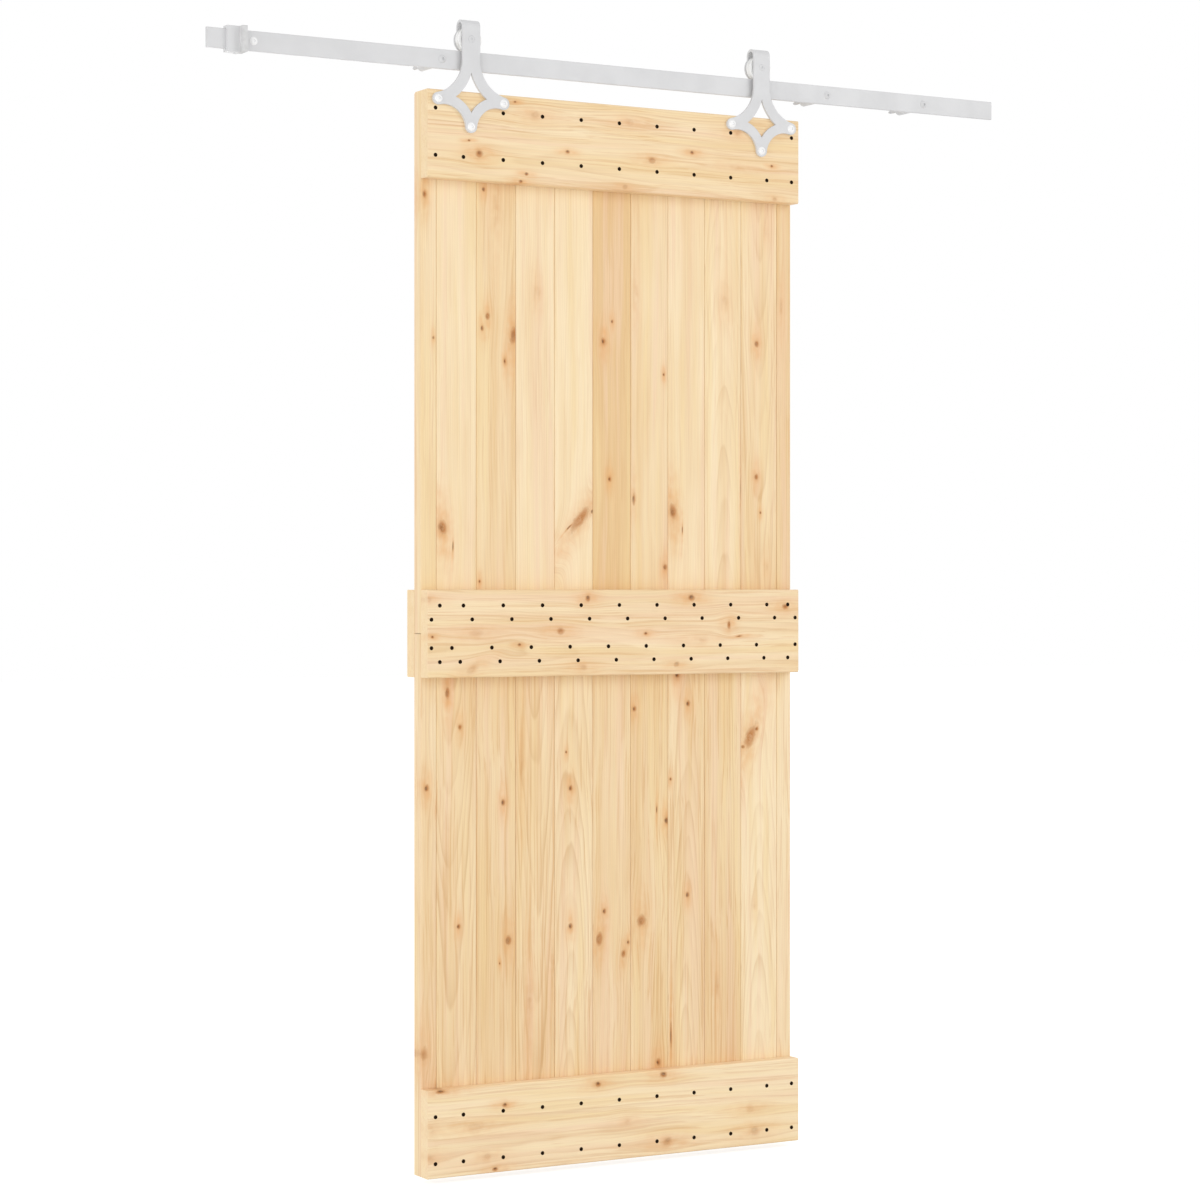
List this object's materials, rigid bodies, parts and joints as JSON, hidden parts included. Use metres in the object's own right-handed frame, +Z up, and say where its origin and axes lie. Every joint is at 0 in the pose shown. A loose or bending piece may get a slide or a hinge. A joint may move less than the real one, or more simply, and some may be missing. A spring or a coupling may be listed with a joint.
{
  "type": "sliding barn door",
  "caption": "Sliding barn door: a battened tongue-and-groove pine leaf hung by bent steel straps and grooved wheels from a flat wall rail with spacers and an end stop.",
  "frame": {"origin": "on the wall plane, at the middle of the rail's length on its centre line", "axes": "+X along the rail to the right seen from the room, +Y into the wall, +Z up"},
  "size_m": [1.8, 0.151, 2.24],
  "materials": {
    "pine_board": "clear, satin",
    "pine_batten": "clear, satin",
    "painted_steel": "pale grey powder coat",
    "painted_fastener": "white gloss",
    "black_screw": "black phosphate",
    "zinc": "zinc plated",
    "wheel_nylon": "satin",
    "bumper_rubber": "pale grey"
  },
  "bodies": {
    "track": {"rail": "painted_steel", "wall_spacer_1": "painted_steel", "wall_spacer_2": "painted_steel", "wall_spacer_3": "painted_steel", "wall_spacer_4": "painted_steel", "wall_bolts": "painted_fastener", "stop_sleeve": "painted_steel", "stop_bumper": "bumper_rubber", "stop_set_screws": "zinc", "stop_bumper_screws": "zinc"},
    "leaf": {"upper_board_1": "pine_board", "upper_board_2": "pine_board", "upper_board_3": "pine_board", "upper_board_4": "pine_board", "upper_board_5": "pine_board", "upper_board_6": "pine_board", "upper_board_7": "pine_board", "upper_board_8": "pine_board", "upper_board_9": "pine_board", "upper_board_10": "pine_board", "upper_board_11": "pine_board", "lower_board_1": "pine_board", "lower_board_2": "pine_board", "lower_board_3": "pine_board", "lower_board_4": "pine_board", "lower_board_5": "pine_board", "lower_board_6": "pine_board", "lower_board_7": "pine_board", "lower_board_8": "pine_board", "lower_board_9": "pine_board", "lower_board_10": "pine_board", "lower_board_11": "pine_board", "top_batten": "pine_batten", "middle_batten_front": "pine_batten", "middle_batten_back": "pine_batten", "bottom_batten": "pine_batten", "top_batten_screws": "black_screw", "middle_batten_screws": "black_screw", "bottom_batten_screws": "black_screw", "left_hanger_strap": "painted_steel", "left_hanger_bolts": "painted_fastener", "left_hanger_washers": "zinc", "left_hanger_nuts": "zinc", "left_axle_bolt": "painted_fastener", "left_axle_collars": "zinc", "left_axle_nut": "zinc", "right_hanger_strap": "painted_steel", "right_hanger_bolts": "painted_fastener", "right_hanger_washers": "zinc", "right_hanger_nuts": "zinc", "right_axle_bolt": "painted_fastener", "right_axle_collars": "zinc", "right_axle_nut": "zinc"},
    "left_wheel": {"left_wheel": "wheel_nylon", "left_wheel_bearing": "zinc"},
    "right_wheel": {"right_wheel": "wheel_nylon", "right_wheel_bearing": "zinc"}
  },
  "joints": [
    {"name": "door_slide", "type": "slide", "parent": "track", "child": "leaf", "axis": [1, 0, 0], "range_m": [-0.445, 0.55]},
    {"name": "left_wheel_spin", "type": "hinge", "parent": "leaf", "child": "left_wheel", "pos_m": [-0.355, -0.087, 0.042], "axis": [0, 1, 0], "range_deg": [-1130, 1390]},
    {"name": "right_wheel_spin", "type": "hinge", "parent": "leaf", "child": "right_wheel", "pos_m": [0.311, -0.087, 0.042], "axis": [0, 1, 0], "range_deg": [-1130, 1390]}
  ],
  "couplings": [
    {"joint": "left_wheel_spin", "follows": "door_slide", "rad_per_m": 43.478},
    {"joint": "right_wheel_spin", "follows": "door_slide", "rad_per_m": 43.478}
  ]
}
